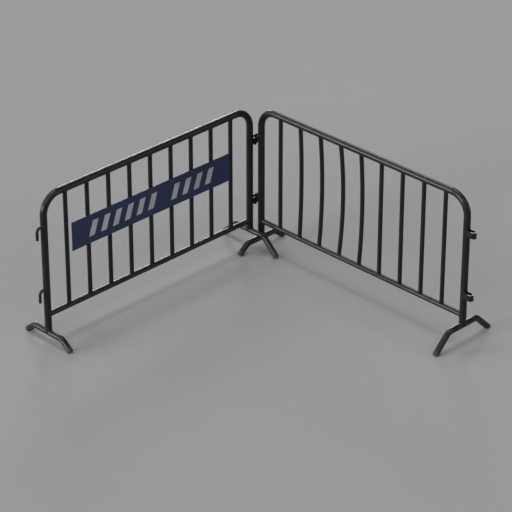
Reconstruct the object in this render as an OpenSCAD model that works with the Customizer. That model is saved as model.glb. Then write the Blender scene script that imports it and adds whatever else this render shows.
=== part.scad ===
// Pedestrian barrier: two linked panels that stand at a right-angled corner.
// Each panel is a bent tube frame, closed by a bottom rail and filled with upright bars.
// One end post has two hooks and a low foot. The other has two eyes and a tall foot,
// so that at a corner the tall foot passes over the low foot of the next panel.
// The hooks of the right panel hang in the eyes of the left one, and their legs are the hinge.

/* [Panel frame] */
// Height from the floor to the top of the frame
panel_height = 1100; // [950:5:1250]
// Distance between the centres of the two end posts
post_spacing = 1880; // [1500:10:2400]
// Outer diameter of the frame tube
frame_d = 48.3; // [42:0.1:54]
// Wall of the frame tube
frame_wall = 2.6; // [1.5:0.1:4]
// Radius of the top corners, to the middle of the tube
corner_radius = 135; // [100:1:170]
// Outer diameter of the bottom rail
rail_d = 38; // [33:0.5:41]
// Wall of the bottom rail
rail_wall = 2; // [1.2:0.1:3.5]
// Height of the middle of the bottom rail
rail_height = 203; // [190:1:280]

/* [Upright bars] */
// Number of bars in a panel
bar_count = 9; // [7:1:11]
// Outer diameter of a bar
bar_d = 30; // [20:0.5:32]
// Wall of a bar
bar_wall = 1.5; // [1:0.1:3]
// How far the second bar of the right panel is bent outwards
bow_second = 15; // [5:1:40]
// How far the third bar of the right panel is bent outwards
bow_third = 24; // [5:1:40]
// How far the fourth bar of the right panel is bent outwards
bow_fourth = 34; // [5:1:40]
// How far the fifth bar of the right panel is bent outwards
bow_fifth = 23; // [5:1:40]

/* [Feet] */
// Outer diameter of the foot tube
foot_d = 42.4; // [36:0.1:46]
// Wall of the foot tube
foot_wall = 2.6; // [1.5:0.1:4]
// Length of the straight middle of a foot
foot_straight = 230; // [160:2:320]
// Radius of the foot bends, to the middle of the tube
foot_bend = 60; // [45:1:90]
// Height of the middle of the low foot, under the hook post
low_foot_height = 70; // [60:1:90]
// Gap between a low foot and the tall foot that passes over it
foot_pass_gap = 15.6; // [8:0.1:30]
// Slope of the low foot's legs, in degrees
low_foot_slope = 38; // [30:0.5:45]
// Slope of the tall foot's legs, in degrees
tall_foot_slope = 44; // [36:0.5:55]
// Thickness of a foot plug outside the tube
plug_rim = 23; // [22:0.5:28]
// Length of a foot plug inside the tube
plug_shank = 25; // [15:1:35]
// Depth of the flat tread on a foot plug
plug_tread = 10; // [4:0.5:11]
// Chamfer round the end of a foot plug
plug_chamfer = 2; // [1:0.5:4]
// Gap between a plug's shank and the bore of the tube
plug_gap = 0.2; // [0.1:0.05:0.5]

/* [Hooks and eyes] */
// Diameter of the hook bar
hook_d = 20; // [14:0.5:24]
// Distance from the hook post's centre to the hook's leg
hook_reach = 60; // [54:1:80]
// Radius of the hook's bend, to the middle of the bar
hook_bend = 26; // [20:1:32]
// Distance from the top of the frame down to the arm of the upper hook
hook_below_top = 235; // [210:1:320]
// Distance between the two hooks of a post
hook_spacing = 466; // [300:1:500]
// Length of the hook's leg below the eye
hook_tip = 24; // [10:1:40]
// Chamfer on the tip of the hook
hook_chamfer = 3; // [1:0.5:5]
// Distance from the eye post's centre to the leg of the hook that hangs in the eye
eye_seat = 56; // [50:1:70]
// Gap between the hook's leg and each side of the eye
eye_play = 4; // [1:0.5:8]
// Distance from the hook's leg out to the centre of the eye's round end
eye_slack = 1; // [0:0.5:6]
// Thickness of the eye's strap
eye_strap = 8; // [5:0.5:10]
// Height of the eye's strap
eye_height = 45; // [30:1:60]
// Gap between the inside of the hook's bend and the top of the eye
seat_gap = 0.4; // [0.3:0.1:1]

/* [Sign board] */
// Distance from the end of the board to the middle of the end bar beside it
board_end_gap = 32; // [20:1:80]
// Height of the board
board_height = 211; // [200:1:280]
// Height of the middle of the board above the floor
board_middle = 709; // [500:1:760]
// Thickness of the board
board_thickness = 3; // [2.5:0.5:6]
// Gap between the board, or a clip, and the bars
board_gap = 0.3; // [0.2:0.1:1]
// Height of the stripes on the board
stripe_height = 110; // [60:1:120]
// Width of a stripe, along the board
stripe_width = 50; // [30:1:60]
// How far a stripe leans over its height
stripe_lean = 38; // [0:1:60]
// Distance from one stripe to the next
stripe_pitch = 106; // [90:1:140]
// Least bare length at each end of the board
stripe_margin = 110; // [60:1:200]
// Share of the stripes that stand left of the bare space between their two groups
stripe_split = 0.6; // [0.3:0.05:0.7]
// Thickness of the stripes' film
stripe_film = 0.4; // [0.2:0.1:1]
// Thickness of a clip's strap
clip_strap = 2; // [1.5:0.1:3]
// Height of a clip
clip_height = 25; // [18:1:32]
// Length of a clip's flange
clip_flange = 20; // [16:1:30]
// Distance of the clips from the board's middle, upwards and downwards
clip_offset = 80; // [74:1:82]
// Diameter of a rivet's shank
rivet_d = 5; // [3:0.1:6]
// Diameter of a rivet's flush head
rivet_head_d = 9; // [7.5:0.5:11]
// Diameter of a rivet's closed head, behind the clip
rivet_tail_d = 9; // [7.5:0.5:11]
// Height of a rivet's closed head
rivet_tail = 2.5; // [1.5:0.1:4]
// Gap round a rivet in its hole
rivet_gap = 0.1; // [0.05:0.05:0.3]

/* [Hidden] */
// Gap at the welded joints, which the weld fills
weld_gap = 0.2;
// How far a foot's wall is drawn in, outside and inside, where a leg leaves its bend
leg_draw = 0.05;
// Length that takes a cutter well past what it cuts
past = 5;
// Steps in a full turn of a section
$fn = 64;
// Least turn of one step along the curve of a bent bar, in degrees
bow_step = 1.5;

paint = "#24262a";
sign_blue = "#252b47";
sign_grey = "#9ba0a6";
plug_black = "#141414";
clip_zinc = "#a3a6a8";

top_axis = panel_height - frame_d/2;
bar_pitch = post_spacing/(bar_count + 1);
bar_bows = [0, bow_second, bow_third, bow_fourth, bow_fifth];

tall_foot_height = low_foot_height + foot_d + foot_pass_gap;

hook_levels = [panel_height - hook_below_top, panel_height - hook_below_top - hook_spacing];
eye_width = hook_d + 2*eye_play;
// The inside of the hook's bend comes down on the inner edge of the eye
bend_inside = hook_bend - hook_d/2;
edge_in_bend = max(0, hook_bend - eye_width/2);
eye_top_drop = hook_bend - sqrt(bend_inside*bend_inside - edge_in_bend*edge_in_bend) + seat_gap;
hook_drop = eye_top_drop + eye_height + hook_tip;
eye_centre = eye_seat + eye_slack;
eye_out = eye_centre + eye_width/2 + eye_strap;

board_length = (bar_count - 1)*bar_pitch - 2*board_end_gap;
board_back = bar_d/2 + board_gap;
board_front = board_back + board_thickness;
clip_bore_d = bar_d + 2*board_gap;
clip_half = clip_bore_d/2 + clip_strap;
rivet_side = clip_half + clip_flange/2;
stripe_slots = floor((board_length - 2*stripe_margin)/stripe_pitch);
stripe_gap_slot = floor(stripe_slots*stripe_split);
clip_reach = board_length/2 - rivet_side - rivet_head_d;
covered_bars = [for (i = [1:bar_count]) if (abs(bar_place(i) - post_spacing/2) < clip_reach) i];
clip_bars = [for (k = [0, 0.5, 1]) covered_bars[floor(k*(len(covered_bars) - 1))]];

// Place of a bar, from the hook post
function bar_place(i) = i*bar_pitch;

// Height of the centre of a foot plug's end above the floor
function plug_end_height(slope) = foot_d/2*cos(slope) - plug_tread;

// Length of the tube in a foot's straight leg, from its bend to its plug
function leg_tube(height, slope) =
    (height - foot_bend*(1 - cos(slope)) - plug_end_height(slope))/sin(slope) - plug_rim;

// Distance from the panel to the outermost point of a foot
function foot_half(height, slope) =
    foot_straight/2 + foot_bend*sin(slope) + (leg_tube(height, slope) + plug_rim)*cos(slope)
    + max(foot_d/2*sin(slope) - plug_chamfer*cos(slope), (foot_d/2 - plug_chamfer)*sin(slope));

// The hinge stands at the middle of the hook legs. The origin is under the middle of the whole.
foot_out = max(foot_half(tall_foot_height, tall_foot_slope), foot_half(low_foot_height, low_foot_slope));
left_out = eye_seat + post_spacing + hook_reach + hook_d/2;
right_out = hook_reach + post_spacing + eye_out;
hinge = [(left_out - foot_out)/2, (right_out - foot_out)/2, 0];

function panel_nodes(side) = concat(
    [str(side, "_frame"), str(side, "_bottom_rail")],
    [for (i = [1:bar_count]) str(side, "_bar_", i)],
    [for (piece = ["hook_upper", "hook_lower", "eye_upper", "eye_lower", "low_foot", "tall_foot", "foot_plugs"])
        str(side, "_", piece)]
);

// Places of the two panels. A panel is drawn from its hook post along +X, with the corner's inside at -Y.
module left() {
    translate(hinge - [eye_seat + post_spacing, 0, 0]) children();
}

module right() {
    translate(hinge - [0, hook_reach, 0]) rotate([0, 0, -90]) children();
}

module at_eye_post() {
    translate([post_spacing, 0, 0]) children();
}

// Cross-section of a tube
module ring(d, wall) {
    difference() {
        circle(d = d);
        circle(d = d - 2*wall);
    }
}

// Straight tube along +Z
module tube(d, wall, length) {
    linear_extrude(height = length) ring(d, wall);
}

// Tube bent a quarter turn round the Z axis, from the X axis on
module quarter_bend(d, wall, radius) {
    rotate_extrude(angle = 90) translate([radius, 0]) ring(d, wall);
}

// Outside of a tube along Y through the origin, with the gap for its weld, to cut what is welded to it
module cope_along_y(d) {
    rotate([90, 0, 0]) cylinder(d = d + 2*weld_gap, h = 4*d, center = true);
}

// Outside of an end post, to cut what is welded to it
module cope_post(from, to) {
    translate([0, 0, from]) cylinder(d = frame_d + 2*weld_gap, h = to - from);
}

// Outside of a rail along X, to cut the bars that are welded to it
module cope_rail(d, height) {
    translate([-2*d, 0, height]) rotate([0, 90, 0]) cylinder(d = d + 2*weld_gap, h = 4*d);
}

// A top corner and its post, seen from the end of the top rail, which runs along -X
module corner_and_post(foot_height) {
    translate([0, 0, -corner_radius]) {
        rotate([90, 0, 0]) quarter_bend(frame_d, frame_wall, corner_radius);
        translate([corner_radius, 0, 0]) mirror([0, 0, 1])
            tube(frame_d, frame_wall, top_axis - corner_radius - foot_height);
    }
}

// Frame: two end posts and the top rail, bent from one tube, and coped on to the feet
module frame() {
    top_rail = post_spacing - 2*corner_radius;
    color(paint) difference() {
        translate([corner_radius, 0, top_axis]) union() {
            rotate([0, 90, 0]) tube(frame_d, frame_wall, top_rail);
            mirror([1, 0, 0]) corner_and_post(low_foot_height);
            translate([top_rail, 0, 0]) corner_and_post(tall_foot_height);
        }
        translate([0, 0, low_foot_height]) cope_along_y(foot_d);
        translate([post_spacing, 0, tall_foot_height]) cope_along_y(foot_d);
    }
}

// Bottom rail, coped on to the posts
module bottom_rail() {
    color(paint) difference() {
        translate([0, 0, rail_height]) rotate([0, 90, 0]) tube(rail_d, rail_wall, post_spacing);
        for (x = [0, post_spacing])
            translate([x, 0, 0]) cope_post(rail_height - rail_d, rail_height + rail_d);
    }
}

// Upright bar between the rails, coped on to both, straight or bent outwards in an even curve
module bar(i, bow) {
    length = top_axis - rail_height;
    translate([bar_place(i), 0, 0]) color(paint) difference() {
        if (bow > 0) bowed_tube(length, bow);
        else translate([0, 0, rail_height]) tube(bar_d, bar_wall, length);
        cope_rail(rail_d, rail_height);
        cope_rail(frame_d, top_axis);
    }
}

// Tube bent in an arc, with an even number of steps, so that one of them ends at the middle
module bowed_tube(length, bow) {
    radius = (length*length/4 + bow*bow)/(2*bow);
    half_angle = asin(length/2/radius);
    half_steps = max(1, floor(half_angle/bow_step));
    steps_per_turn = floor(360*half_steps/half_angle);
    translate([0, bow - radius, rail_height + length/2])
        rotate([90, 0, 90]) rotate([0, 0, -half_angle])
            rotate_extrude(angle = 2*half_angle, $fn = steps_per_turn)
                translate([radius, 0]) ring(bar_d, bar_wall);
}

// Hook: an arm out of the post, a bend and a straight leg down
module hook(level) {
    arm = hook_reach - hook_bend;
    leg = hook_drop - hook_bend - hook_chamfer;
    color(paint) difference() {
        translate([-arm, 0, level]) union() {
            rotate([0, 90, 0]) cylinder(d = hook_d, h = arm);
            translate([0, 0, -hook_bend]) {
                rotate([90, 0, 0]) rotate([0, 0, 90])
                    rotate_extrude(angle = 90) translate([hook_bend, 0]) circle(d = hook_d);
                translate([-hook_bend, 0, 0]) mirror([0, 0, 1]) {
                    cylinder(d = hook_d, h = leg);
                    translate([0, 0, leg])
                        cylinder(d1 = hook_d, d2 = hook_d - 2*hook_chamfer, h = hook_chamfer);
                }
            }
        }
        cope_post(level - hook_d, level + hook_d);
    }
}

// Eye: a flat strap bent into a U, with its two ends coped on to the post
module eye(level) {
    top = level - eye_top_drop;
    at_eye_post() color(paint) difference() {
        translate([0, 0, top - eye_height]) union() {
            for (side = [-1, 1])
                translate([0, side*(eye_width + eye_strap)/2 - eye_strap/2, 0])
                    cube([eye_centre, eye_strap, eye_height]);
            translate([eye_centre, 0, 0]) rotate([0, 0, -90])
                rotate_extrude(angle = 180) translate([eye_width/2, 0]) square([eye_strap, eye_height]);
        }
        cope_post(top - eye_height - past, top + past);
    }
}

// A foot's bend turns round Z, from X, where the straight middle ends
module at_bend(height, side) {
    mirror([0, side, 0]) translate([0, foot_straight/2, height - foot_bend])
        rotate([90, 0, 90]) rotate([0, 0, 90]) mirror([0, 1, 0]) children();
}

// A foot's leg runs along +Z, from the end of its bend
module at_leg(slope) {
    rotate([0, 0, slope]) translate([foot_bend, 0, 0]) rotate([-90, 0, 0]) children();
}

// Foot: a tube across the panel, with both ends bent down to the floor
module foot(height, slope) {
    color(paint) union() {
        translate([0, -foot_straight/2, height]) rotate([-90, 0, 0]) tube(foot_d, foot_wall, foot_straight);
        for (side = [0, 1]) at_bend(height, side) {
            difference() {
                quarter_bend(foot_d, foot_wall, foot_bend);
                rotate([0, 0, slope]) translate([0, 0, -foot_d]) cube(2*(foot_bend + foot_d));
            }
            at_leg(slope) tube(foot_d - 2*leg_draw, foot_wall - 2*leg_draw, leg_tube(height, slope));
        }
    }
}

// Plugs in both ends of a foot, worn flat where they stand on the floor
module foot_plug_pair(height, slope) {
    shank_r = foot_d/2 - foot_wall - plug_gap;
    end_r = foot_d/2 - plug_chamfer;
    profile = [
        [0, -plug_shank],
        [shank_r, -plug_shank],
        [shank_r, 0],
        [foot_d/2, 0],
        [foot_d/2, plug_rim - plug_chamfer],
        [end_r, plug_rim],
        [0, plug_rim]
    ];
    reach = foot_half(height, slope) + past;
    difference() {
        for (side = [0, 1]) at_bend(height, side) at_leg(slope)
            translate([0, 0, leg_tube(height, slope)]) rotate_extrude() polygon(profile);
        translate([-foot_d, -reach, -foot_d]) cube([2*foot_d, 2*reach, foot_d]);
    }
}

module low_foot() {
    foot(low_foot_height, low_foot_slope);
}

module tall_foot() {
    at_eye_post() foot(tall_foot_height, tall_foot_slope);
}

module foot_plugs() {
    color(plug_black) {
        foot_plug_pair(low_foot_height, low_foot_slope);
        at_eye_post() foot_plug_pair(tall_foot_height, tall_foot_slope);
    }
}

// Places of the rivets: +Z points forwards out of the board's face
module at_rivets() {
    for (i = clip_bars, side = [-1, 1], up = [-1, 1])
        translate([bar_place(i) + side*rivet_side, -board_front, board_middle + up*clip_offset])
            rotate([90, 0, 0]) children();
}

// Flush-headed rivet: its head lies in the board, and its tail is closed behind the clip's flange
module rivet(gap) {
    head_depth = (rivet_head_d - rivet_d)/2;
    grip = board_thickness + clip_strap;
    cylinder_length = grip - head_depth;
    union() {
        translate([0, 0, -head_depth])
            cylinder(d1 = rivet_d + 2*gap, d2 = rivet_head_d + 2*gap, h = head_depth);
        translate([0, 0, -grip]) cylinder(d = rivet_d + 2*gap, h = cylinder_length);
    }
}

module sign_board() {
    color(sign_blue) difference() {
        translate([(post_spacing - board_length)/2, -board_front, board_middle - board_height/2])
            cube([board_length, board_thickness, board_height]);
        at_rivets() rivet(rivet_gap);
    }
}

// Slanted stripes of film on the board's face, in two groups
module sign_stripes() {
    first = (post_spacing - (stripe_slots - 1)*stripe_pitch)/2;
    half_foot = stripe_width/2;
    color(sign_grey)
        for (k = [0:stripe_slots - 1])
            if (k != stripe_gap_slot)
                translate([first + k*stripe_pitch, -board_front, board_middle])
                    rotate([90, 0, 0]) linear_extrude(height = stripe_film)
                        polygon([
                            [-half_foot - stripe_lean/2, -stripe_height/2],
                            [half_foot - stripe_lean/2, -stripe_height/2],
                            [half_foot + stripe_lean/2, stripe_height/2],
                            [-half_foot + stripe_lean/2, stripe_height/2]
                        ]);
}

// Saddle clip: a strap round the back of a bar, with two flanges on the back of the board
module saddle_clip() {
    translate([0, 0, -clip_height/2]) union() {
        rotate_extrude(angle = 180) translate([clip_bore_d/2, 0]) square([clip_strap, clip_height]);
        for (side = [0, 1]) mirror([side, 0, 0]) {
            translate([clip_bore_d/2, -board_back + clip_strap, 0])
                cube([clip_strap, board_back - clip_strap, clip_height]);
            translate([clip_bore_d/2, -board_back, 0])
                cube([clip_strap + clip_flange, clip_strap, clip_height]);
        }
    }
}

module sign_clips() {
    color(clip_zinc) difference() {
        for (i = clip_bars, up = [-1, 1])
            translate([bar_place(i), 0, board_middle + up*clip_offset]) saddle_clip();
        at_rivets() translate([0, 0, -board_thickness - clip_strap - past])
            cylinder(d = rivet_d + 2*rivet_gap, h = board_thickness + clip_strap + past);
    }
}

module sign_rivets() {
    color(sign_blue) at_rivets() union() {
        rivet(0);
        translate([0, 0, -board_thickness - clip_strap - rivet_tail])
            cylinder(d = rivet_tail_d, h = rivet_tail);
    }
}

left() frame();  // left_frame
left() bottom_rail();  // left_bottom_rail
for (i = [1:bar_count])
    left() bar(i, 0);
left() hook(hook_levels[0]);  // left_hook_upper
left() hook(hook_levels[1]);  // left_hook_lower
left() eye(hook_levels[0]);  // left_eye_upper
left() eye(hook_levels[1]);  // left_eye_lower
left() low_foot();  // left_low_foot
left() tall_foot();  // left_tall_foot
left() foot_plugs();  // left_foot_plugs

right() frame();  // right_frame
right() bottom_rail();  // right_bottom_rail
for (i = [1:bar_count])
    right() bar(i, i <= len(bar_bows) ? bar_bows[i - 1] : 0);
right() hook(hook_levels[0]);  // right_hook_upper
right() hook(hook_levels[1]);  // right_hook_lower
right() eye(hook_levels[0]);  // right_eye_upper
right() eye(hook_levels[1]);  // right_eye_lower
right() low_foot();  // right_low_foot
right() tall_foot();  // right_tall_foot
right() foot_plugs();  // right_foot_plugs

left() sign_board();
left() sign_stripes();
left() sign_clips();
left() sign_rivets();
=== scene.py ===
"""Dresses two linked barrier panels: paint, film, rubber, zinc, weld beads, floor, light and camera."""

import math
import random

import bmesh
import bpy
from bpy.props import FloatProperty, FloatVectorProperty, IntProperty, PointerProperty
from bpy.types import Operator, Panel, PropertyGroup
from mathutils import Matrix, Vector


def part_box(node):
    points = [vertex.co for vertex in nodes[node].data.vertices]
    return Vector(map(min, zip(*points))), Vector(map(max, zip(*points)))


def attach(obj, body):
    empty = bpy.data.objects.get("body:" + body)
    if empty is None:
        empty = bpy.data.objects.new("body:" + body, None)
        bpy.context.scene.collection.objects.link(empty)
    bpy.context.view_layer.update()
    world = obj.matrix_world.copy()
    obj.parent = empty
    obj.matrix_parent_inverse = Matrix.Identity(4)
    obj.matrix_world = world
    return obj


bl_info = {
    "name": "Linked Barrier Panels",
    "version": (1, 0, 0),
    "blender": (4, 5, 0),
    "location": "View3D > Sidebar > Barrier",
    "description": "Finishes, weld beads and stage of two crowd barrier panels hooked at a corner",
    "category": "Object",
}

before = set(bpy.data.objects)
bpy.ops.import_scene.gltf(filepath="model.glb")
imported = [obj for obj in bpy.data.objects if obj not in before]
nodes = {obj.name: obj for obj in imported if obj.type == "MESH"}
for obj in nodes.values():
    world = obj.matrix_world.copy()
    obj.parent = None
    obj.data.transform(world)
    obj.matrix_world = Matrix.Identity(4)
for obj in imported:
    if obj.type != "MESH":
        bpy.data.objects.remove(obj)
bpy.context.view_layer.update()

SIDES = ("left", "right")
STEEL_PIECES = ("frame", "bottom_rail", "bar_", "hook_", "eye_", "low_foot", "tall_foot")
# Thickness of the strap that an eye is bent from
STRAP = 0.008
UP = Vector((0, 0, 1))
MM = 0.001


class BarrierFinish(PropertyGroup):
    """Colours and wear of the panels"""

    paint_colour: FloatVectorProperty(
        name="Paint", description="Colour of the powder coat on the steel tubes",
        subtype="COLOR", size=3, min=0, max=1, default=(0.0058, 0.0063, 0.0066))
    chalk_colour: FloatVectorProperty(
        name="Chalked paint", description="Colour of the powder coat where it is rubbed dull",
        subtype="COLOR", size=3, min=0, max=1, default=(0.032, 0.033, 0.034))
    steel_colour: FloatVectorProperty(
        name="Bare steel", description="Colour of the steel where the coat is worn through",
        subtype="COLOR", size=3, min=0, max=1, default=(0.30, 0.29, 0.28))
    dust_colour: FloatVectorProperty(
        name="Dust", description="Colour of the dust that settles on upper faces",
        subtype="COLOR", size=3, min=0, max=1, default=(0.20, 0.19, 0.175))
    board_colour: FloatVectorProperty(
        name="Board", description="Colour of the sign board's paint",
        subtype="COLOR", size=3, min=0, max=1, default=(0.0082, 0.0172, 0.072))
    film_colour: FloatVectorProperty(
        name="Film", description="Colour of the stripes on the sign board",
        subtype="COLOR", size=3, min=0, max=1, default=(0.42, 0.44, 0.47))
    rubber_colour: FloatVectorProperty(
        name="Rubber", description="Colour of the foot plugs",
        subtype="COLOR", size=3, min=0, max=1, default=(0.012, 0.012, 0.0125))
    zinc_colour: FloatVectorProperty(
        name="Zinc", description="Colour of the plated clips behind the board",
        subtype="COLOR", size=3, min=0, max=1, default=(0.42, 0.43, 0.45))
    wear: FloatProperty(
        name="Edge wear", description="Share of the edges that are worn through to the metal",
        subtype="FACTOR", min=0, max=1, default=0.5)
    dust: FloatProperty(
        name="Dust", description="Cover of dust on the upper faces",
        subtype="FACTOR", min=0, max=1, default=0.15)


class BarrierWelds(PropertyGroup):
    """Sizes of the weld beads"""

    bead_radius: FloatProperty(
        name="Bead radius", description="Half the width of a weld bead",
        unit="LENGTH", min=0.001, max=0.006, default=0.0032)
    ripple_pitch: FloatProperty(
        name="Ripple pitch", description="Distance from one ripple of a bead to the next",
        unit="LENGTH", min=0.002, max=0.01, default=0.0048)
    ripple_depth: FloatProperty(
        name="Ripple depth", description="Depth of the ripples, as a share of the bead's radius",
        subtype="FACTOR", min=0, max=0.5, default=0.16)
    seed: IntProperty(name="Seed", description="Start of the beads' uneven shapes", min=0, default=7)


class BarrierStage(PropertyGroup):
    """Floor, light and camera"""

    floor_colour: FloatVectorProperty(
        name="Floor", description="Colour of the floor",
        subtype="COLOR", size=3, min=0, max=1, default=(0.31, 0.31, 0.31))
    floor_radius: FloatProperty(
        name="Floor radius", description="Distance from the panels to the edge of the floor",
        unit="LENGTH", min=5, max=500, default=120)
    sky_strength: FloatProperty(
        name="Room light", description="Strength of the even light from all around",
        min=0, max=2, default=0.08)
    lamp_strength: FloatProperty(
        name="Lamps", description="Strength of all softboxes together", min=0, max=10, default=1.0)
    lens: FloatProperty(
        name="Lens", description="Focal length of the camera, in millimetres",
        min=20, max=400, default=173.908)
    azimuth: FloatProperty(
        name="Azimuth", description="Turn of the camera round the panels",
        subtype="ANGLE", default=math.radians(-44.9614))
    elevation: FloatProperty(
        name="Elevation", description="Slope of the camera's view",
        subtype="ANGLE", default=math.radians(28.8818))
    distance: FloatProperty(
        name="Distance", description="Distance from the camera to the point it looks at",
        unit="LENGTH", min=1, max=100, default=16.4315)
    target: FloatVectorProperty(
        name="Target", description="Point that the camera looks at",
        subtype="TRANSLATION", unit="LENGTH", size=3, default=(0.08612, 0.08516, 0.5))


def add_node(tree, kind, place, inputs=None, **settings):
    """Adds a node, with its settings, and sets or links its inputs by name or number."""
    node = tree.nodes.new(kind)
    node.location = place
    for name, value in settings.items():
        setattr(node, name, value)
    for name, value in (inputs or {}).items():
        if isinstance(value, bpy.types.NodeSocket):
            tree.links.new(value, node.inputs[name])
        else:
            node.inputs[name].default_value = value
    return node


def mix_colour(tree, place, factor, first, second):
    """A colour that goes from the first to the second as the factor goes from 0 to 1."""
    node = add_node(tree, "ShaderNodeMix", place, {0: factor, 6: first, 7: second}, data_type="RGBA")
    return node.outputs[2]


def mix_value(tree, place, factor, first, second):
    """A value that goes from the first to the second as the factor goes from 0 to 1."""
    node = add_node(tree, "ShaderNodeMix", place, {0: factor, 2: first, 3: second}, data_type="FLOAT")
    return node.outputs[0]


def multiply(tree, place, first, second):
    """The product of two values, clamped from 0 to 1."""
    node = add_node(tree, "ShaderNodeMath", place, {0: first, 1: second},
                    operation="MULTIPLY", use_clamp=True)
    return node.outputs[0]


def larger(tree, place, first, second):
    """The larger of two values."""
    node = add_node(tree, "ShaderNodeMath", place, {0: first, 1: second}, operation="MAXIMUM")
    return node.outputs[0]


def spread(tree, place, value, low, high, to_low=0.0, to_high=1.0):
    """Takes the range from low to high of a value to another range, clamped."""
    node = add_node(tree, "ShaderNodeMapRange", place,
                    {0: value, 1: low, 2: high, 3: to_low, 4: to_high}, interpolation_type="SMOOTHSTEP")
    return node.outputs[0]


def noise(tree, place, vector, scale, detail=3.0, roughness=0.55):
    """Soft clouds, at a number of waves to the metre."""
    node = add_node(tree, "ShaderNodeTexNoise", place,
                    {"Vector": vector, "Scale": scale, "Detail": detail, "Roughness": roughness})
    return node.outputs["Fac"]


def opaque(colour, share=1.0):
    """A colour of the panel's settings, lightened or darkened, with its alpha."""
    return (*(min(1.0, c * share) for c in colour), 1.0)


def shades(tree, place, factor, colour, dark, light):
    """A colour that goes from a darker to a lighter shade of itself."""
    return mix_colour(tree, place, factor, opaque(colour, dark), opaque(colour, light))


def new_group(name, inputs, output):
    """An empty shader group with float inputs and one float output."""
    tree = bpy.data.node_groups.new(name, "ShaderNodeTree")
    for label, value, low, high in inputs:
        socket = tree.interface.new_socket(name=label, in_out="INPUT", socket_type="NodeSocketFloat")
        socket.default_value, socket.min_value, socket.max_value = value, low, high
    tree.interface.new_socket(name=output, in_out="OUTPUT", socket_type="NodeSocketFloat")
    start = add_node(tree, "NodeGroupInput", (-900, 0))
    end = add_node(tree, "NodeGroupOutput", (700, 0))
    place = add_node(tree, "ShaderNodeTexCoord", (-900, -260)).outputs["Object"]
    return tree, start.outputs, end.inputs[output], place


def coat_grain_group():
    """Fine orange peel of a sprayed coat over long soft waves."""
    tree, given, result, place = new_group(
        "Coat Grain", [("Grain Scale", 700.0, 1.0, 5000.0), ("Wave Scale", 90.0, 1.0, 1000.0)], "Height")
    fine = noise(tree, (-500, 200), place, given["Grain Scale"], 2.0)
    wave = noise(tree, (-500, -100), place, given["Wave Scale"], 1.0)
    tree.links.new(mix_value(tree, (-100, 100), 0.35, fine, wave), result)
    return tree


def edge_wear_group():
    """Edges, found by how far a rounded normal turns from the face's own, broken up in patches."""
    tree, given, result, place = new_group(
        "Edge Wear",
        [("Reach", 0.0015, 0.0, 0.02), ("Patch Scale", 60.0, 1.0, 2000.0), ("Amount", 0.5, 0.0, 1.0)], "Mask")
    rounded = add_node(tree, "ShaderNodeBevel", (-700, 200), {"Radius": given["Reach"]}, samples=6)
    true = add_node(tree, "ShaderNodeNewGeometry", (-700, 0))
    turn = add_node(tree, "ShaderNodeVectorMath", (-500, 150),
                    {0: rounded.outputs[0], 1: true.outputs["Normal"]}, operation="DOT_PRODUCT")
    edge = spread(tree, (-300, 150), turn.outputs["Value"], 0.985, 0.80)
    patch = noise(tree, (-500, -200), place, given["Patch Scale"], 6.0, 0.7)
    limit = spread(tree, (-500, -420), given["Amount"], 0.0, 1.0, 0.85, 0.25)
    above = add_node(tree, "ShaderNodeMath", (-300, -250), {0: patch, 1: limit}, operation="SUBTRACT")
    bare = spread(tree, (-50, -250), above.outputs[0], 0.0, 0.08)
    tree.links.new(multiply(tree, (300, 0), edge, bare), result)
    return tree


def settled_dust_group():
    """Dust on faces that look up, and splashes that thin out above the floor."""
    tree, given, result, place = new_group(
        "Settled Dust",
        [("Amount", 0.3, 0.0, 1.0), ("Patch Scale", 25.0, 1.0, 500.0), ("Splash Height", 0.16, 0.0, 2.0)],
        "Mask")
    normal = add_node(tree, "ShaderNodeNewGeometry", (-700, 300)).outputs["Normal"]
    up = add_node(tree, "ShaderNodeSeparateXYZ", (-500, 300), {0: normal}).outputs["Z"]
    settled = spread(tree, (-300, 300), up, 0.35, 1.0)
    height = add_node(tree, "ShaderNodeSeparateXYZ", (-700, 60), {0: place}).outputs["Z"]
    splash = spread(tree, (-300, 60), height, given["Splash Height"], 0.0)
    both = larger(tree, (-100, 200), settled, splash)
    cloud = noise(tree, (-500, -200), place, given["Patch Scale"], 6.0, 0.65)
    patch = spread(tree, (-300, -200), cloud, 0.35, 0.7)
    cover = multiply(tree, (150, 100), both, patch)
    tree.links.new(multiply(tree, (400, 50), cover, given["Amount"]), result)
    return tree


def scuff_group():
    """Rubbed patches and thin scratches."""
    tree, given, result, place = new_group(
        "Scuffs",
        [("Amount", 0.4, 0.0, 1.0), ("Patch Scale", 9.0, 0.5, 200.0), ("Scratch Scale", 38.0, 1.0, 500.0)],
        "Mask")
    cloud = noise(tree, (-500, 250), place, given["Patch Scale"], 5.0, 0.65)
    patch = spread(tree, (-300, 250), cloud, 0.50, 0.72)
    bend = add_node(tree, "ShaderNodeTexNoise", (-700, -100), {"Vector": place, "Scale": 6.0, "Detail": 2.0})
    bent = add_node(tree, "ShaderNodeVectorMath", (-500, -100),
                    {0: bend.outputs["Color"], 1: (0.18, 0.18, 0.18), 2: place}, operation="MULTIPLY_ADD")
    line = add_node(tree, "ShaderNodeTexVoronoi", (-300, -100),
                    {"Vector": bent.outputs[0], "Scale": given["Scratch Scale"]}, feature="DISTANCE_TO_EDGE")
    thin = spread(tree, (-100, -100), line.outputs["Distance"], 0.02, 0.0)
    scratch = multiply(tree, (100, -50), thin, patch)
    rubbed = multiply(tree, (100, 200), patch, 0.45)
    both = larger(tree, (300, 100), rubbed, scratch)
    tree.links.new(multiply(tree, (500, 50), both, given["Amount"]), result)
    return tree


GROUPS = {
    "Coat Grain": coat_grain_group,
    "Edge Wear": edge_wear_group,
    "Settled Dust": settled_dust_group,
    "Scuffs": scuff_group,
}


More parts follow.
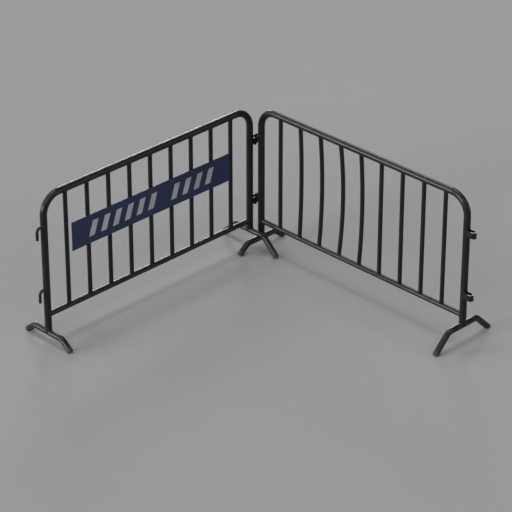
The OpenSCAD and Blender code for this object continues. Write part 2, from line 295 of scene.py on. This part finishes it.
def effect(tree, name, place, **values):
    """Places a shared effect in a material, with its own values, and gives its output."""
    group = bpy.data.node_groups.get(name) or GROUPS[name]()
    inputs = {label.replace("_", " ").title(): value for label, value in values.items()}
    return add_node(tree, "ShaderNodeGroup", place, inputs, node_tree=group).outputs[0]


def new_material(name, colour):
    """An empty node material, its Principled shader and its object coordinates."""
    material = bpy.data.materials.new(name)
    material.use_nodes = True
    material.diffuse_color = opaque(colour)
    tree = material.node_tree
    shader = tree.nodes["Principled BSDF"]
    shader.location = (700, 200)
    tree.nodes["Material Output"].location = (1000, 200)
    place = add_node(tree, "ShaderNodeTexCoord", (-1100, 0)).outputs["Object"]
    return material, tree, shader, place


def connect(tree, shader, height, bump_strength, bump_distance, **sockets):
    """Links what varies to the shader's sockets of the same names, and its bump to a height."""
    for label, socket in sockets.items():
        tree.links.new(socket, shader.inputs[label.replace("_", " ").title()])
    bump = add_node(tree, "ShaderNodeBump", (450, -300),
                    {"Strength": bump_strength, "Distance": bump_distance, "Height": height})
    tree.links.new(bump.outputs[0], shader.inputs["Normal"])


def powder_coat(finish):
    """Black powder coat on steel: a thin gloss on a dull base, orange peel, scuffs, dust, worn edges."""
    material, tree, shader, place = new_material("black_powder_coat", finish.paint_colour)
    tone = spread(tree, (-700, 400), noise(tree, (-900, 400), place, 4.0, 5.0), 0.3, 0.7)
    base = shades(tree, (-450, 400), tone, finish.paint_colour, 0.85, 1.2)
    scuff = effect(tree, "Scuffs", (-700, 150), amount=0.55, patch_scale=7.0, scratch_scale=45.0)
    dust = effect(tree, "Settled Dust", (-700, -100),
                  amount=finish.dust, patch_scale=30.0, splash_height=0.18)
    wear = effect(tree, "Edge Wear", (-700, -350), reach=0.0016, patch_scale=80.0, amount=finish.wear)
    rubbed = mix_colour(tree, (-200, 350), scuff, base, opaque(finish.chalk_colour))
    dusty = mix_colour(tree, (50, 300), dust, rubbed, opaque(finish.dust_colour))
    colour = mix_colour(tree, (300, 250), wear, dusty, opaque(finish.steel_colour))
    gloss = spread(tree, (-450, 50), noise(tree, (-900, 50), place, 14.0, 4.0), 0.3, 0.7, 0.42, 0.5)
    dulled = mix_value(tree, (-100, 50), scuff, gloss, 0.6)
    roughness = mix_value(tree, (150, 0), dust, dulled, 0.85)
    grain = effect(tree, "Coat Grain", (-200, -350), grain_scale=650.0, wave_scale=70.0)
    gleam = mix_value(tree, (150, -150), scuff, 0.3, 0.1)
    connect(tree, shader, grain, 0.2, 0.6 * MM,
            base_color=colour, roughness=roughness, metallic=wear, coat_weight=gleam)
    shader.inputs["Specular IOR Level"].default_value = 0.15
    shader.inputs["Coat Roughness"].default_value = 0.15
    return material


def board_paint(finish):
    """Satin paint on sheet metal: faint mottle, scratches, dust and bright worn edges."""
    material, tree, shader, place = new_material("board_paint", finish.board_colour)
    tone = spread(tree, (-700, 400), noise(tree, (-900, 400), place, 5.0, 5.0), 0.3, 0.7)
    base = shades(tree, (-450, 400), tone, finish.board_colour, 0.9, 1.12)
    scuff = effect(tree, "Scuffs", (-700, 150), amount=0.3, patch_scale=4.0, scratch_scale=22.0)
    dust = effect(tree, "Settled Dust", (-700, -100), amount=finish.dust, patch_scale=18.0, splash_height=0.0)
    wear = effect(tree, "Edge Wear", (-700, -350), reach=0.0012, patch_scale=45.0, amount=finish.wear)
    rubbed = mix_colour(tree, (-200, 350), scuff, base, opaque(finish.board_colour, 2.2))
    dusty = mix_colour(tree, (50, 300), dust, rubbed, opaque(finish.dust_colour))
    colour = mix_colour(tree, (300, 250), wear, dusty, opaque(finish.zinc_colour))
    gloss = spread(tree, (-450, 50), noise(tree, (-900, 50), place, 11.0, 4.0), 0.3, 0.7, 0.42, 0.5)
    roughness = mix_value(tree, (150, 0), scuff, gloss, 0.62)
    grain = effect(tree, "Coat Grain", (-200, -350), grain_scale=900.0, wave_scale=30.0)
    connect(tree, shader, grain, 0.12, 0.4 * MM, base_color=colour, roughness=roughness, metallic=wear)
    return material


def stripe_film(finish):
    """Grey plastic film: fine beaded grain, faded patches, scratches and rubbed edges."""
    material, tree, shader, place = new_material("stripe_film", finish.film_colour)
    tone = spread(tree, (-700, 400), noise(tree, (-900, 400), place, 9.0, 6.0), 0.3, 0.7)
    base = shades(tree, (-450, 400), tone, finish.film_colour, 0.86, 1.1)
    scuff = effect(tree, "Scuffs", (-700, 150), amount=0.5, patch_scale=6.0, scratch_scale=30.0)
    wear = effect(tree, "Edge Wear", (-700, -350), reach=0.002, patch_scale=70.0, amount=finish.wear)
    rubbed = mix_colour(tree, (-200, 350), scuff, base, opaque(finish.film_colour, 0.6))
    colour = mix_colour(tree, (100, 300), wear, rubbed, opaque(finish.board_colour, 2.0))
    roughness = mix_value(tree, (150, 0), scuff, spread(tree, (-450, 50), tone, 0.0, 1.0, 0.4, 0.5), 0.65)
    beads = add_node(tree, "ShaderNodeTexVoronoi", (-450, -350), {"Vector": place, "Scale": 1400.0})
    connect(tree, shader, beads.outputs["Distance"], 0.15, 0.2 * MM, base_color=colour, roughness=roughness)
    return material


def plug_rubber(finish):
    """Moulded rubber: matte grain, grey bloom, floor dirt and rubbed rims."""
    material, tree, shader, place = new_material("plug_rubber", finish.rubber_colour)
    tone = spread(tree, (-700, 400), noise(tree, (-900, 400), place, 40.0, 5.0), 0.3, 0.7)
    base = shades(tree, (-450, 400), tone, finish.rubber_colour, 0.8, 1.6)
    dust = effect(tree, "Settled Dust", (-700, -100), amount=min(1.0, finish.dust * 1.6), patch_scale=60.0,
                  splash_height=0.05)
    wear = effect(tree, "Edge Wear", (-700, -350), reach=0.002, patch_scale=120.0, amount=finish.wear)
    rubbed = mix_colour(tree, (-200, 350), wear, base, opaque(finish.chalk_colour, 1.3))
    colour = mix_colour(tree, (100, 300), dust, rubbed, opaque(finish.dust_colour))
    roughness = mix_value(tree, (150, 0), wear, spread(tree, (-450, 50), tone, 0.0, 1.0, 0.6, 0.75), 0.5)
    grain = effect(tree, "Coat Grain", (-200, -350), grain_scale=1300.0, wave_scale=200.0)
    connect(tree, shader, grain, 0.35, 0.5 * MM, base_color=colour, roughness=roughness)
    return material


def zinc_plate(finish):
    """Zinc-plated steel: spangle in tone and gloss, white bloom and fine scratches."""
    material, tree, shader, place = new_material("zinc_plate", finish.zinc_colour)
    cells = add_node(tree, "ShaderNodeTexVoronoi", (-900, 400), {"Vector": place, "Scale": 220.0})
    spangle = add_node(tree, "ShaderNodeSeparateColor", (-700, 400), {0: cells.outputs["Color"]}).outputs[0]
    base = shades(tree, (-450, 400), spangle, finish.zinc_colour, 0.75, 1.1)
    scuff = effect(tree, "Scuffs", (-700, 150), amount=0.6, patch_scale=20.0, scratch_scale=90.0)
    dust = effect(tree, "Settled Dust", (-700, -100), amount=finish.dust, patch_scale=50.0, splash_height=0.0)
    bloom = mix_colour(tree, (-200, 350), scuff, base, opaque(finish.zinc_colour, 1.5))
    colour = mix_colour(tree, (100, 300), dust, bloom, opaque(finish.dust_colour))
    roughness = mix_value(tree, (150, 0), scuff, spread(tree, (-450, 50), spangle, 0.0, 1.0, 0.32, 0.46), 0.6)
    metal = spread(tree, (150, -150), dust, 0.0, 0.5, 1.0, 0.2)
    grain = effect(tree, "Coat Grain", (-200, -350), grain_scale=1500.0, wave_scale=120.0)
    connect(tree, shader, grain, 0.15, 0.3 * MM, base_color=colour, roughness=roughness, metallic=metal)
    return material


def floor_finish(stage):
    """Plain matt floor with a faint cloud in its tone."""
    material, tree, shader, place = new_material("studio_floor", stage.floor_colour)
    cloud = spread(tree, (-400, 300), noise(tree, (-650, 300), place, 0.35, 3.0), 0.3, 0.7)
    colour = shades(tree, (0, 300), cloud, stage.floor_colour, 0.985, 1.015)
    grain = noise(tree, (-100, -300), place, 180.0, 3.0)
    connect(tree, shader, grain, 0.03, 0.5 * MM, base_color=colour)
    shader.inputs["Roughness"].default_value = 0.9
    shader.inputs["Specular IOR Level"].default_value = 0.2
    return material


def finish_nodes(names, material):
    """Gives CAD nodes their material."""
    for name in names:
        for place in nodes[name].material_slots:
            place.material = material


def steel_nodes():
    """Names of all painted steel pieces of both panels."""
    starts = tuple(f"{side}_{piece}" for side in SIDES for piece in STEEL_PIECES)
    return [name for name in nodes if name.startswith(starts)]


class BARRIER_OT_paint_steel(Operator):
    """Paints the frames, rails, bars, hooks, eyes and feet of both panels"""

    bl_idname = "barrier.paint_steel"
    bl_label = "Paint Steel"

    def execute(self, context):
        finish_nodes(steel_nodes(), powder_coat(context.scene.barrier_finish))
        return {"FINISHED"}


class BARRIER_OT_finish_plugs(Operator):
    """Gives the foot plugs their rubber"""

    bl_idname = "barrier.finish_plugs"
    bl_label = "Finish Foot Plugs"

    def execute(self, context):
        finish_nodes([f"{side}_foot_plugs" for side in SIDES], plug_rubber(context.scene.barrier_finish))
        return {"FINISHED"}


class BARRIER_OT_finish_sign(Operator):
    """Finishes the sign board with its film, clips and rivets"""

    bl_idname = "barrier.finish_sign"
    bl_label = "Finish Sign"

    def execute(self, context):
        finish = context.scene.barrier_finish
        finish_nodes(["sign_board", "sign_rivets"], board_paint(finish))
        finish_nodes(["sign_stripes"], stripe_film(finish))
        finish_nodes(["sign_clips"], zinc_plate(finish))
        return {"FINISHED"}


class PanelPlaces:
    """Places and sizes of one panel, read from its nodes: along it, outwards and up from its hook post."""

    def __init__(self, side):
        self.side = side
        left = side == "left"
        self.along = Vector((1, 0, 0)) if left else Vector((0, -1, 0))
        self.outside = Vector((0, 1, 0)) if left else Vector((1, 0, 0))
        low, high = self.spans("frame")
        self.post_r = (high.y - low.y) / 2
        self.start = low.x + self.post_r
        self.plane = (low.y + high.y) / 2
        self.posts = (0.0, high.x - low.x - 2 * self.post_r)
        self.top = high.z - self.post_r
        low, high = self.spans("bottom_rail")
        self.rail_r, self.rail = (high.z - low.z) / 2, (high.z + low.z) / 2
        self.bar_r = self.half_width("bar_1")
        self.foot_r = self.half_width("low_foot")
        self.feet = [self.spans(foot)[1].z - self.foot_r for foot in ("low_foot", "tall_foot")]

    def spans(self, piece):
        """Lowest and highest corner of a piece, with X along the panel and Y outwards."""
        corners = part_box(f"{self.side}_{piece}")
        turned = [Vector((c.dot(self.along), c.dot(self.outside), c.z)) for c in corners]
        return Vector(map(min, *turned)), Vector(map(max, *turned))

    def half_width(self, piece):
        low, high = self.spans(piece)
        return (high.x - low.x) / 2

    def bars(self):
        """Place along the panel of each bar, and how far it is bent outwards."""
        number = 1
        while f"{self.side}_bar_{number}" in nodes:
            low, high = self.spans(f"bar_{number}")
            yield (low.x + high.x) / 2 - self.start, max(0.0, high.y - self.plane - self.bar_r)
            number += 1

    def direction(self, local):
        """A direction of the panel, turned to the frame of the pair."""
        return self.along * local.x + self.outside * local.y + UP * local.z

    def point(self, local):
        """A point of the panel, moved to the frame of the pair."""
        return self.direction(Vector((local.x + self.start, local.y + self.plane, local.z)))


# Points round a tube joint, and along the runs and edges of an eye's strap
JOINT_STEPS = 96
STRAP_RUN_STEPS = 14
STRAP_EDGE_STEPS = 4


def tube_joint(at, branch, branch_r, main, main_r):
    """Closed path round a branch tube where it leaves a main tube's wall, and where each point faces."""
    side = branch.cross(main).normalized()
    across = branch.cross(side)
    path = []
    for step in range(JOINT_STEPS):
        turn = 2 * math.pi * step / JOINT_STEPS
        wall = side * math.cos(turn) + across * math.sin(turn)
        start = wall * branch_r
        off, run = start - main * start.dot(main), branch - main * branch.dot(main)
        a, b, c = run.dot(run), off.dot(run), off.dot(off) - main_r * main_r
        reach = (math.sqrt(max(0.0, b * b - a * c)) - b) / a
        radial = off + run * reach
        path.append((at + start + branch * reach, (wall + radial.normalized()).normalized()))
    return path


def strap_joint(post, side, post_r, half_out, low, high):
    """Closed path round the end of one leg of an eye, where it meets its post."""
    half_in = half_out - STRAP
    path = []

    def add(half, height, face):
        depth = math.sqrt(post_r * post_r - half * half)
        wall = Vector((depth / post_r, side * half / post_r, 0))
        path.append((Vector((post + depth, side * half, height)), (wall + face).normalized()))

    for k in range(STRAP_RUN_STEPS):
        add(half_out, low + (high - low) * k / STRAP_RUN_STEPS, Vector((0, side, 0)))
    for k in range(STRAP_EDGE_STEPS):
        add(half_out - STRAP * k / STRAP_EDGE_STEPS, high, UP)
    for k in range(STRAP_RUN_STEPS):
        add(half_in, high + (low - high) * k / STRAP_RUN_STEPS, Vector((0, -side, 0)))
    for k in range(STRAP_EDGE_STEPS):
        add(half_in + STRAP * k / STRAP_EDGE_STEPS, low, -UP)
    return path


# Points round a bead, steps along one ripple, and the fewest ripples of a bead
RING = 8
STEPS_PER_RIPPLE = 4
FEWEST_RIPPLES = 4
# Height and lift of a bead, as shares of its radius
CROWN = 0.72
LIFT = 0.15
# Share of the radius that each slow wave adds or takes, and how often each goes round
UNEVEN = 0.05
WAVE_TURNS = (2, 3, 5, 7)


def evenly(path, count):
    """A closed path walked in even steps."""
    ends = path[1:] + path[:1]
    lengths = [(b[0] - a[0]).length for a, b in zip(path, ends)]
    total = sum(lengths)
    walked, index, result = 0.0, 0, []
    for step in range(count):
        goal = total * step / count
        while walked + lengths[index] < goal:
            walked += lengths[index]
            index += 1
        share = (goal - walked) / lengths[index]
        (p, n), (q, m) = path[index], ends[index]
        result.append((p.lerp(q, share), n.lerp(m, share).normalized()))
    return result


def add_bead(mesh, path, welds, draw):
    """Sweeps a rippled weld bead along a closed path."""
    total = sum((b[0] - a[0]).length for a, b in zip(path, path[1:] + path[:1]))
    count = max(FEWEST_RIPPLES, round(total / welds.ripple_pitch)) * STEPS_PER_RIPPLE
    walk = evenly(path, count)
    waves = [(turns, draw.uniform(0, 2 * math.pi)) for turns in WAVE_TURNS]
    rings = []
    for step, (point, face) in enumerate(walk):
        run = walk[(step + 1) % count][0] - walk[step - 1][0]
        across = run.cross(face).normalized()
        out = across.cross(run).normalized()
        turn = 2 * math.pi * step / count
        ripple = 1 - welds.ripple_depth * (1 - abs(math.sin(math.pi * step / STEPS_PER_RIPPLE)))
        uneven = 1 + UNEVEN * sum(math.sin(turns * turn + phase) for turns, phase in waves)
        size = welds.bead_radius * ripple * uneven
        ring = []
        for k in range(RING):
            angle = 2 * math.pi * k / RING
            offset = across * math.cos(angle) + out * (CROWN * math.sin(angle) + LIFT)
            ring.append(mesh.verts.new(point + offset * size))
        rings.append(ring)
    for ring, after in zip(rings, rings[1:] + rings[:1]):
        for k in range(RING):
            face = mesh.faces.new((ring[k], ring[(k + 1) % RING], after[(k + 1) % RING], after[k]))
            face.smooth = True


def weld_paths(panel):
    """Paths of all weld beads of a panel, in its own directions."""
    along, out = Vector((1, 0, 0)), Vector((0, 1, 0))
    for place, bow in panel.bars():
        half = (panel.top - panel.rail) / 2
        lean = 2 * math.atan2(bow, half)
        tilt = out * math.sin(lean)
        rise = UP * math.cos(lean)
        yield tube_joint(Vector((place, 0, panel.rail)), tilt + rise, panel.bar_r, along, panel.rail_r)
        yield tube_joint(Vector((place, 0, panel.top)), tilt - rise, panel.bar_r, along, panel.post_r)
    for post, inwards, foot in zip(panel.posts, (along, -along), panel.feet):
        yield tube_joint(Vector((post, 0, panel.rail)), inwards, panel.rail_r, UP, panel.post_r)
        yield tube_joint(Vector((post, 0, foot)), UP, panel.post_r, out, panel.foot_r)
    for level in ("upper", "lower"):
        low, high = panel.spans(f"hook_{level}")
        hook_r = (high.y - low.y) / 2
        yield tube_joint(Vector((0, 0, high.z - hook_r)), -along, hook_r, UP, panel.post_r)
        low, high = panel.spans(f"eye_{level}")
        for side in (-1, 1):
            yield strap_joint(panel.posts[1], side, panel.post_r, (high.y - low.y) / 2, low.z, high.z)


class BARRIER_OT_weld_panels(Operator):
    """Lays a rippled bead round every welded joint of both panels"""

    bl_idname = "barrier.weld_panels"
    bl_label = "Weld Panels"

    def execute(self, context):
        welds = context.scene.barrier_welds
        coat = bpy.data.materials.get("black_powder_coat")
        if coat is None:
            raise RuntimeError("paint the steel before the welds, which share its coat")
        draw = random.Random(welds.seed)
        for side in SIDES:
            panel = PanelPlaces(side)
            mesh = bmesh.new()
            for path in weld_paths(panel):
                placed = [(panel.point(p), panel.direction(n)) for p, n in path]
                add_bead(mesh, placed, welds, draw)
            bmesh.ops.recalc_face_normals(mesh, faces=mesh.faces)
            beads = bpy.data.meshes.new(f"{side}_welds")
            mesh.to_mesh(beads)
            mesh.free()
            beads.materials.append(coat)
            piece = bpy.data.objects.new(f"{side}_welds", beads)
            context.scene.collection.objects.link(piece)
            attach(piece, f"{side}_panel")
        return {"FINISHED"}


FLOOR_SIDES = 96


def add_floor(stage, scene):
    """A round floor under the panels."""
    mesh = bmesh.new()
    bmesh.ops.create_circle(mesh, cap_ends=True, segments=FLOOR_SIDES, radius=stage.floor_radius)
    floor = bpy.data.meshes.new("studio_floor")
    mesh.to_mesh(floor)
    mesh.free()
    floor.materials.append(floor_finish(stage))
    piece = bpy.data.objects.new("studio_floor", floor)
    scene.collection.objects.link(piece)


# Name; azimuth from +X towards +Y, elevation and width in degrees; light on a white wall that faces it
SOFTBOXES = (
    ("overhead", 72, 78, 22, 0.28),
    ("rim", 43, 29, 12, 0.16),
    ("rim_low", 52, 7, 14, 0.26),
    ("back", 108, 44, 45, 0.17),
    ("back_low", 112, 8, 18, 0.10),
    ("back_left_low", 142, 8, 18, 0.45),
    ("left", 178, 33, 35, 0.13),
    ("left_high", 210, 38, 12, 0.11),
    ("left_low", 172, 9, 22, 0.60),
    ("front", 262, 38, 50, 0.17),
    ("front_low", 300, 10, 25, 0.10),
)


def add_softbox(scene, name, azimuth, elevation, width, strength):
    """A wide, far lamp that shines on to the panels from one side."""
    lamp = bpy.data.lights.new(name, "SUN")
    lamp.energy = math.pi * strength
    lamp.angle = math.radians(width)
    piece = bpy.data.objects.new(name, lamp)
    turn, rise = math.radians(azimuth), math.radians(elevation)
    towards = Vector((math.cos(turn) * math.cos(rise), math.sin(turn) * math.cos(rise), math.sin(rise)))
    piece.rotation_mode = "QUATERNION"
    piece.rotation_quaternion = towards.to_track_quat("Z", "Y")
    scene.collection.objects.link(piece)


# Width of the camera's sensor in millimetres, and how many floor radii away it still sees
SENSOR_WIDTH = 36.0
VIEW_REACH = 4


def add_camera(stage, scene):
    """A camera that looks at its target from the photo's side."""
    lens = bpy.data.cameras.new("camera")
    lens.lens = stage.lens
    lens.sensor_width = SENSOR_WIDTH
    lens.clip_end = VIEW_REACH * stage.floor_radius
    camera = bpy.data.objects.new("camera", lens)
    level = math.cos(stage.elevation)
    back = Vector((
        math.sin(stage.azimuth) * level, -math.cos(stage.azimuth) * level, math.sin(stage.elevation)))
    camera.location = Vector(stage.target) + back * stage.distance
    camera.rotation_mode = "QUATERNION"
    camera.rotation_quaternion = back.to_track_quat("Z", "Y")
    scene.collection.objects.link(camera)
    scene.camera = camera


class BARRIER_OT_set_stage(Operator):
    """Sets the floor, the light and the camera"""

    bl_idname = "barrier.set_stage"
    bl_label = "Set Stage"

    def execute(self, context):
        scene = context.scene
        stage = scene.barrier_stage
        add_floor(stage, scene)
        world = bpy.data.worlds.new("room_light")
        world.use_nodes = True
        sky = world.node_tree.nodes["Background"]
        sky.inputs["Color"].default_value = (1, 1, 1, 1)
        sky.inputs["Strength"].default_value = stage.sky_strength
        scene.world = world
        for name, azimuth, elevation, width, strength in SOFTBOXES:
            add_softbox(scene, name, azimuth, elevation, width, strength * stage.lamp_strength)
        add_camera(stage, scene)
        scene.view_settings.view_transform = "Standard"
        return {"FINISHED"}


class BARRIER_PT_sidebar(Panel):
    """Settings and steps of the barrier panels"""

    bl_idname = "BARRIER_PT_sidebar"
    bl_label = "Linked Barrier Panels"
    bl_space_type = "VIEW_3D"
    bl_region_type = "UI"
    bl_category = "Barrier"

    def draw(self, context):
        layout = self.layout
        for group in (context.scene.barrier_finish, context.scene.barrier_welds, context.scene.barrier_stage):
            column = layout.column(align=True)
            for name in group.__annotations__:
                column.prop(group, name)
        for step in STEPS:
            layout.operator(step.bl_idname)


STEPS = (
    BARRIER_OT_paint_steel,
    BARRIER_OT_finish_plugs,
    BARRIER_OT_finish_sign,
    BARRIER_OT_weld_panels,
    BARRIER_OT_set_stage,
)
CLASSES = (BarrierFinish, BarrierWelds, BarrierStage, *STEPS, BARRIER_PT_sidebar)


def register():
    for cls in CLASSES:
        bpy.utils.register_class(cls)
    bpy.types.Scene.barrier_finish = PointerProperty(type=BarrierFinish)
    bpy.types.Scene.barrier_welds = PointerProperty(type=BarrierWelds)
    bpy.types.Scene.barrier_stage = PointerProperty(type=BarrierStage)


def unregister():
    del bpy.types.Scene.barrier_stage
    del bpy.types.Scene.barrier_welds
    del bpy.types.Scene.barrier_finish
    for cls in reversed(CLASSES):
        bpy.utils.unregister_class(cls)


def main():
    """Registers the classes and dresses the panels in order."""
    register()
    bpy.ops.barrier.paint_steel()
    bpy.ops.barrier.finish_plugs()
    bpy.ops.barrier.finish_sign()
    bpy.ops.barrier.weld_panels()
    bpy.ops.barrier.set_stage()
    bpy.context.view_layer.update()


if __name__ == "__main__":
    main()
